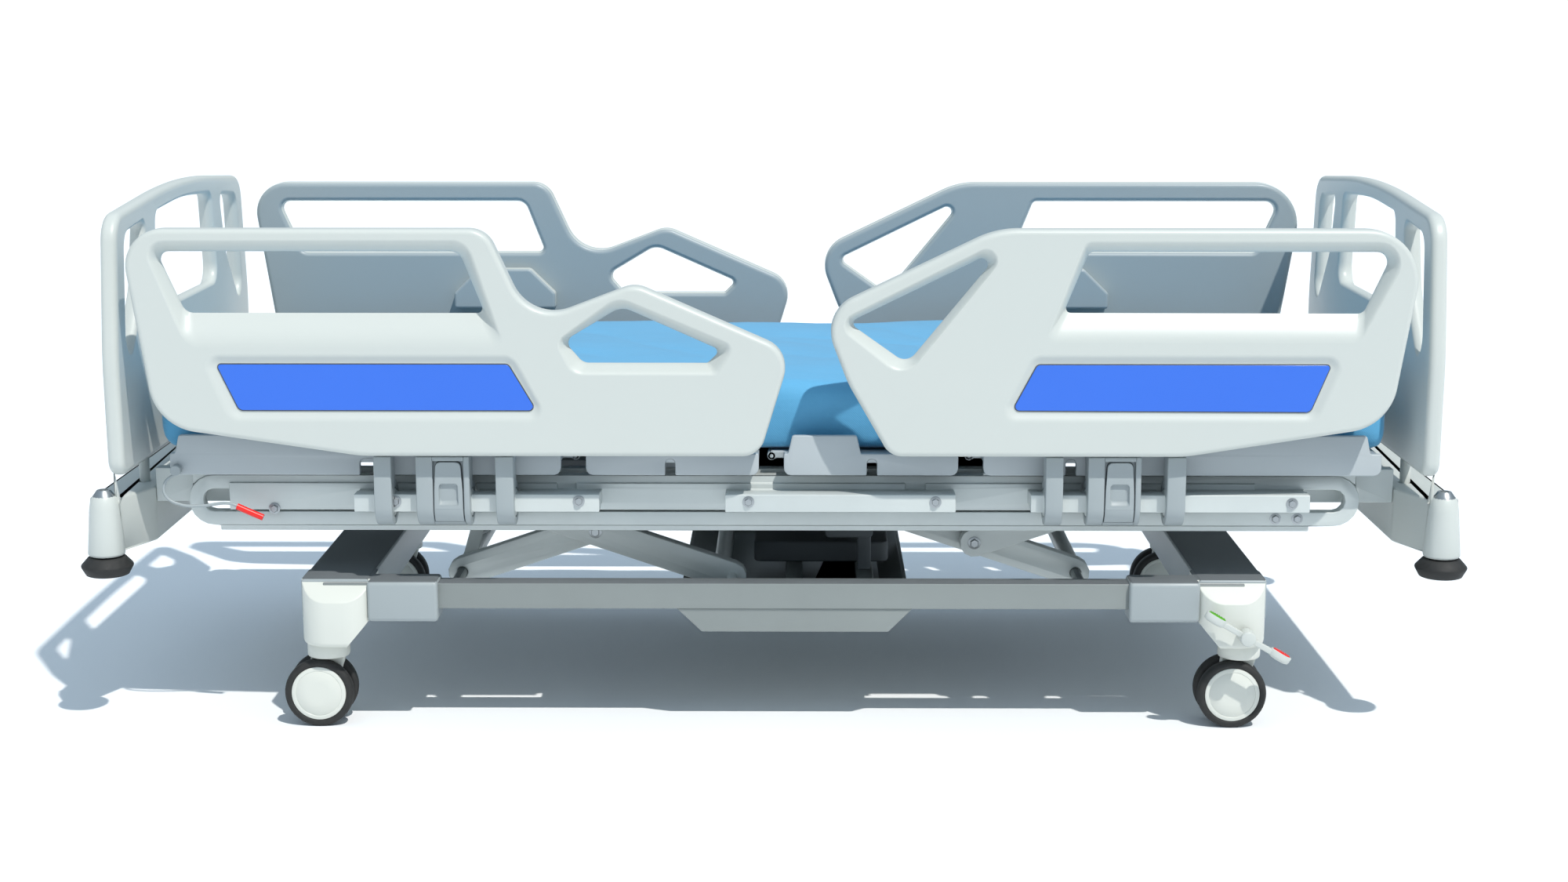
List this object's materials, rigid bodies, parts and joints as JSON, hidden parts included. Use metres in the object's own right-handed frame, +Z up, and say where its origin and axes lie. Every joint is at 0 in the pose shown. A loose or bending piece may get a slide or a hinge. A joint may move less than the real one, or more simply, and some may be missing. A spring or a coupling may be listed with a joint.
{
  "type": "adjustable hospital bed",
  "caption": "Height-adjustable hospital bed on braked castors, with a sectioned mattress platform, drop-down split side rails and lift-off end boards",
  "frame": {"origin": "on the floor, under the middle of the overall box", "axes": "+X from the head end to the foot end, +Y to the far side as seen in the picture, +Z up"},
  "size_m": [2.32, 1, 0.8897],
  "materials": {
    "moulded_white": "satin",
    "arm_grey": "satin",
    "deck_grey": "satin",
    "painted_steel": "satin",
    "bare_steel": "brushed",
    "dark_plastic": "matte",
    "tyre": "matte",
    "mattress_cover": "coated cloth",
    "red_wire": "coated"
  },
  "bodies": {
    "base": {"base_frame": "painted_steel", "base_cover_head": "moulded_white", "base_cover_foot": "moulded_white", "base_tray": "painted_steel", "control_box": "dark_plastic", "lift_motor_head": "dark_plastic", "lift_motor_foot": "dark_plastic"},
    "upper_frame": {"upper_frame": "painted_steel", "end_beam_head": "moulded_white", "end_beam_foot": "moulded_white", "seat_deck": "deck_grey", "mattress_seat": "mattress_cover", "back_motor": "dark_plastic", "knee_motor": "dark_plastic"},
    "lift_arm_head_short": {"lift_arm_head_short": "painted_steel"},
    "lift_arm_head_long": {"lift_arm_head_long": "painted_steel"},
    "lift_arm_foot_long": {"lift_arm_foot_long": "painted_steel"},
    "lift_arm_foot_short": {"lift_arm_foot_short": "painted_steel"},
    "lift_rod_head": {"lift_rod_head": "bare_steel"},
    "lift_rod_foot": {"lift_rod_foot": "bare_steel"},
    "back_rod": {"back_rod": "bare_steel"},
    "knee_rod": {"knee_rod": "bare_steel"},
    "brake": {"brake_shaft": "bare_steel", "brake_pedal_near": "arm_grey", "brake_pedal_far": "arm_grey"},
    "backrest": {"backrest_deck": "deck_grey", "mattress_back": "mattress_cover"},
    "thigh": {"thigh_deck": "deck_grey", "mattress_thigh": "mattress_cover"},
    "calf": {"calf_deck": "deck_grey", "mattress_calf": "mattress_cover"},
    "headboard": {"headboard": "moulded_white"},
    "footboard": {"footboard": "moulded_white"},
    "cpr_lever_near": {"cpr_lever_near": "red_wire"},
    "cpr_lever_far": {"cpr_lever_far": "red_wire"},
    "rail_arm_head_near": {"rail_arm_head_near": "arm_grey"},
    "side_rail_head_near": {"side_rail_head_near": "moulded_white"},
    "rail_latch_head_near": {"rail_latch_head_near": "arm_grey"},
    "rail_arm_head_far": {"rail_arm_head_far": "arm_grey"},
    "side_rail_head_far": {"side_rail_head_far": "moulded_white"},
    "rail_latch_head_far": {"rail_latch_head_far": "arm_grey"},
    "rail_arm_foot_near": {"rail_arm_foot_near": "arm_grey"},
    "side_rail_foot_near": {"side_rail_foot_near": "moulded_white"},
    "rail_latch_foot_near": {"rail_latch_foot_near": "arm_grey"},
    "rail_arm_foot_far": {"rail_arm_foot_far": "arm_grey"},
    "side_rail_foot_far": {"side_rail_foot_far": "moulded_white"},
    "rail_latch_foot_far": {"rail_latch_foot_far": "arm_grey"},
    "castor_head_near": {"castor_fork_head_near": "moulded_white"},
    "castor_wheels_head_near": {"castor_wheels_head_near": "tyre"},
    "castor_head_far": {"castor_fork_head_far": "moulded_white"},
    "castor_wheels_head_far": {"castor_wheels_head_far": "tyre"},
    "castor_foot_near": {"castor_fork_foot_near": "moulded_white"},
    "castor_wheels_foot_near": {"castor_wheels_foot_near": "tyre"},
    "castor_foot_far": {"castor_fork_foot_far": "moulded_white"},
    "castor_wheels_foot_far": {"castor_wheels_foot_far": "tyre"},
    "bumper_roller_head_near": {"bumper_roller_head_near": "tyre"},
    "bumper_roller_head_far": {"bumper_roller_head_far": "tyre"},
    "bumper_roller_foot_near": {"bumper_roller_foot_near": "tyre"},
    "bumper_roller_foot_far": {"bumper_roller_foot_far": "tyre"}
  },
  "joints": [
    {"name": "lift", "type": "hinge", "parent": "base", "child": "lift_arm_head_short", "pos_m": [-0.546, 0, 0.235], "axis": [0, -1, 0], "range_deg": [-8, 41]},
    {"name": "head_arm_cross", "type": "hinge", "parent": "lift_arm_head_short", "child": "lift_arm_head_long", "pos_m": [-0.3092, 0, 0.31515], "axis": [0, -1, 0], "range_deg": [-82, 16]},
    {"name": "head_arm_top", "type": "hinge", "parent": "lift_arm_head_long", "child": "upper_frame", "pos_m": [-0.546, 0, 0.39531], "axis": [0, -1, 0], "range_deg": [-8, 41]},
    {"name": "foot_lift", "type": "hinge", "parent": "base", "child": "lift_arm_foot_long", "pos_m": [0.527, 0, 0.235], "axis": [0, -1, 0], "range_deg": [-41, 8]},
    {"name": "foot_arm_cross", "type": "hinge", "parent": "lift_arm_foot_long", "child": "lift_arm_foot_short", "pos_m": [0.34703, 0, 0.29592], "axis": [0, -1, 0], "range_deg": [-16, 82]},
    {"name": "head_lift_push", "type": "slide", "parent": "base", "child": "lift_rod_head", "axis": [1, 0, 0], "range_m": [-0.05, 0.011]},
    {"name": "foot_lift_push", "type": "slide", "parent": "base", "child": "lift_rod_foot", "axis": [1, 0, 0], "range_m": [-0.011, 0.05]},
    {"name": "backrest", "type": "hinge", "parent": "upper_frame", "child": "backrest", "pos_m": [-0.335, 0, 0.462], "axis": [0, 1, 0], "range_deg": [0, 65]},
    {"name": "back_push", "type": "slide", "parent": "upper_frame", "child": "back_rod", "axis": [1, 0, 0], "range_m": [-0.13, 0]},
    {"name": "thigh", "type": "hinge", "parent": "upper_frame", "child": "thigh", "pos_m": [-0.003, 0, 0.462], "axis": [0, -1, 0], "range_deg": [0, 30]},
    {"name": "calf", "type": "hinge", "parent": "thigh", "child": "calf", "pos_m": [0.331, 0, 0.462], "axis": [0, -1, 0], "range_deg": [-44, 0]},
    {"name": "knee_push", "type": "slide", "parent": "upper_frame", "child": "knee_rod", "axis": [1, 0, 0], "range_m": [0, 0.063]},
    {"name": "rail_head_near", "type": "hinge", "parent": "upper_frame", "child": "rail_arm_head_near", "pos_m": [0, -0.437, 0.394], "axis": [1, 0, 0], "range_deg": [0, 138]},
    {"name": "rail_level_head_near", "type": "hinge", "parent": "rail_arm_head_near", "child": "side_rail_head_near", "pos_m": [0, -0.445, 0.57], "axis": [1, 0, 0], "range_deg": [-138, 0]},
    {"name": "latch_head_near", "type": "hinge", "parent": "rail_arm_head_near", "child": "rail_latch_head_near", "pos_m": [0, -0.471, 0.466], "axis": [-1, 0, 0], "range_deg": [0, 12], "stiffness_Nm_per_rad": 1, "springref_deg": -5.73},
    {"name": "rail_head_far", "type": "hinge", "parent": "upper_frame", "child": "rail_arm_head_far", "pos_m": [0, 0.437, 0.394], "axis": [-1, 0, 0], "range_deg": [0, 138]},
    {"name": "rail_level_head_far", "type": "hinge", "parent": "rail_arm_head_far", "child": "side_rail_head_far", "pos_m": [0, 0.445, 0.57], "axis": [-1, 0, 0], "range_deg": [-138, 0]},
    {"name": "latch_head_far", "type": "hinge", "parent": "rail_arm_head_far", "child": "rail_latch_head_far", "pos_m": [0, 0.471, 0.466], "axis": [1, 0, 0], "range_deg": [0, 12], "stiffness_Nm_per_rad": 1, "springref_deg": -5.73},
    {"name": "rail_foot_near", "type": "hinge", "parent": "upper_frame", "child": "rail_arm_foot_near", "pos_m": [0, -0.437, 0.394], "axis": [1, 0, 0], "range_deg": [0, 138]},
    {"name": "rail_level_foot_near", "type": "hinge", "parent": "rail_arm_foot_near", "child": "side_rail_foot_near", "pos_m": [0, -0.445, 0.57], "axis": [1, 0, 0], "range_deg": [-138, 0]},
    {"name": "latch_foot_near", "type": "hinge", "parent": "rail_arm_foot_near", "child": "rail_latch_foot_near", "pos_m": [0, -0.471, 0.466], "axis": [-1, 0, 0], "range_deg": [0, 12], "stiffness_Nm_per_rad": 1, "springref_deg": -5.73},
    {"name": "rail_foot_far", "type": "hinge", "parent": "upper_frame", "child": "rail_arm_foot_far", "pos_m": [0, 0.437, 0.394], "axis": [-1, 0, 0], "range_deg": [0, 138]},
    {"name": "rail_level_foot_far", "type": "hinge", "parent": "rail_arm_foot_far", "child": "side_rail_foot_far", "pos_m": [0, 0.445, 0.57], "axis": [-1, 0, 0], "range_deg": [-138, 0]},
    {"name": "latch_foot_far", "type": "hinge", "parent": "rail_arm_foot_far", "child": "rail_latch_foot_far", "pos_m": [0, 0.471, 0.466], "axis": [1, 0, 0], "range_deg": [0, 12], "stiffness_Nm_per_rad": 1, "springref_deg": -5.73},
    {"name": "swivel_head_near", "type": "hinge", "parent": "base", "child": "castor_head_near", "pos_m": [-0.761, -0.4, 0.13], "axis": [0, 0, 1], "continuous": true},
    {"name": "roll_head_near", "type": "hinge", "parent": "castor_head_near", "child": "castor_wheels_head_near", "pos_m": [-0.775, -0.4, 0.0585], "axis": [0, 1, 0], "continuous": true},
    {"name": "swivel_head_far", "type": "hinge", "parent": "base", "child": "castor_head_far", "pos_m": [-0.761, 0.4, 0.13], "axis": [0, 0, 1], "continuous": true},
    {"name": "roll_head_far", "type": "hinge", "parent": "castor_head_far", "child": "castor_wheels_head_far", "pos_m": [-0.775, 0.4, 0.0585], "axis": [0, 1, 0], "continuous": true},
    {"name": "swivel_foot_near", "type": "hinge", "parent": "base", "child": "castor_foot_near", "pos_m": [0.795, -0.4, 0.13], "axis": [0, 0, 1], "continuous": true},
    {"name": "roll_foot_near", "type": "hinge", "parent": "castor_foot_near", "child": "castor_wheels_foot_near", "pos_m": [0.781, -0.4, 0.0585], "axis": [0, 1, 0], "continuous": true},
    {"name": "swivel_foot_far", "type": "hinge", "parent": "base", "child": "castor_foot_far", "pos_m": [0.795, 0.4, 0.13], "axis": [0, 0, 1], "continuous": true},
    {"name": "roll_foot_far", "type": "hinge", "parent": "castor_foot_far", "child": "castor_wheels_foot_far", "pos_m": [0.781, 0.4, 0.0585], "axis": [0, 1, 0], "continuous": true},
    {"name": "brake", "type": "hinge", "parent": "base", "child": "brake", "pos_m": [0.793, 0, 0.173], "axis": [0, -1, 0], "range_deg": [0, 58]},
    {"name": "bumper_head_near", "type": "hinge", "parent": "upper_frame", "child": "bumper_roller_head_near", "pos_m": [-1.117, -0.455, 0.289], "axis": [0, 0, 1], "continuous": true},
    {"name": "bumper_head_far", "type": "hinge", "parent": "upper_frame", "child": "bumper_roller_head_far", "pos_m": [-1.117, 0.455, 0.289], "axis": [0, 0, 1], "continuous": true},
    {"name": "bumper_foot_near", "type": "hinge", "parent": "upper_frame", "child": "bumper_roller_foot_near", "pos_m": [1.117, -0.455, 0.289], "axis": [0, 0, 1], "continuous": true},
    {"name": "bumper_foot_far", "type": "hinge", "parent": "upper_frame", "child": "bumper_roller_foot_far", "pos_m": [1.117, 0.455, 0.289], "axis": [0, 0, 1], "continuous": true},
    {"name": "headboard_lift_off", "type": "slide", "parent": "upper_frame", "child": "headboard", "axis": [0, 0, 1], "range_m": [0, 0.12]},
    {"name": "footboard_lift_off", "type": "slide", "parent": "upper_frame", "child": "footboard", "axis": [0, 0, 1], "range_m": [0, 0.12]},
    {"name": "release_near", "type": "hinge", "parent": "backrest", "child": "cpr_lever_near", "pos_m": [-1, -0.434, 0.447], "axis": [0, -1, 0], "range_deg": [0, 18], "stiffness_Nm_per_rad": 0.5, "springref_deg": -5.73},
    {"name": "release_far", "type": "hinge", "parent": "backrest", "child": "cpr_lever_far", "pos_m": [-1, 0.434, 0.447], "axis": [0, -1, 0], "range_deg": [0, 18], "stiffness_Nm_per_rad": 0.5, "springref_deg": -5.73}
  ],
  "couplings": [
    {"joint": "head_arm_cross", "follows": "lift", "ratio": -2},
    {"joint": "head_arm_top", "follows": "lift", "ratio": 1},
    {"joint": "foot_lift", "follows": "lift", "ratio": -1},
    {"joint": "foot_arm_cross", "follows": "lift", "ratio": 2},
    {"joint": "head_lift_push", "follows": "lift", "m_per_rad": -0.0679},
    {"joint": "foot_lift_push", "follows": "lift", "m_per_rad": 0.0679},
    {"joint": "back_push", "follows": "backrest", "m_per_rad": -0.1137},
    {"joint": "calf", "follows": "thigh", "ratio": -1.45},
    {"joint": "knee_push", "follows": "thigh", "m_per_rad": 0.1186},
    {"joint": "rail_level_head_near", "follows": "rail_head_near", "ratio": -1},
    {"joint": "rail_level_head_far", "follows": "rail_head_far", "ratio": -1},
    {"joint": "rail_level_foot_near", "follows": "rail_foot_near", "ratio": -1},
    {"joint": "rail_level_foot_far", "follows": "rail_foot_far", "ratio": -1}
  ]
}
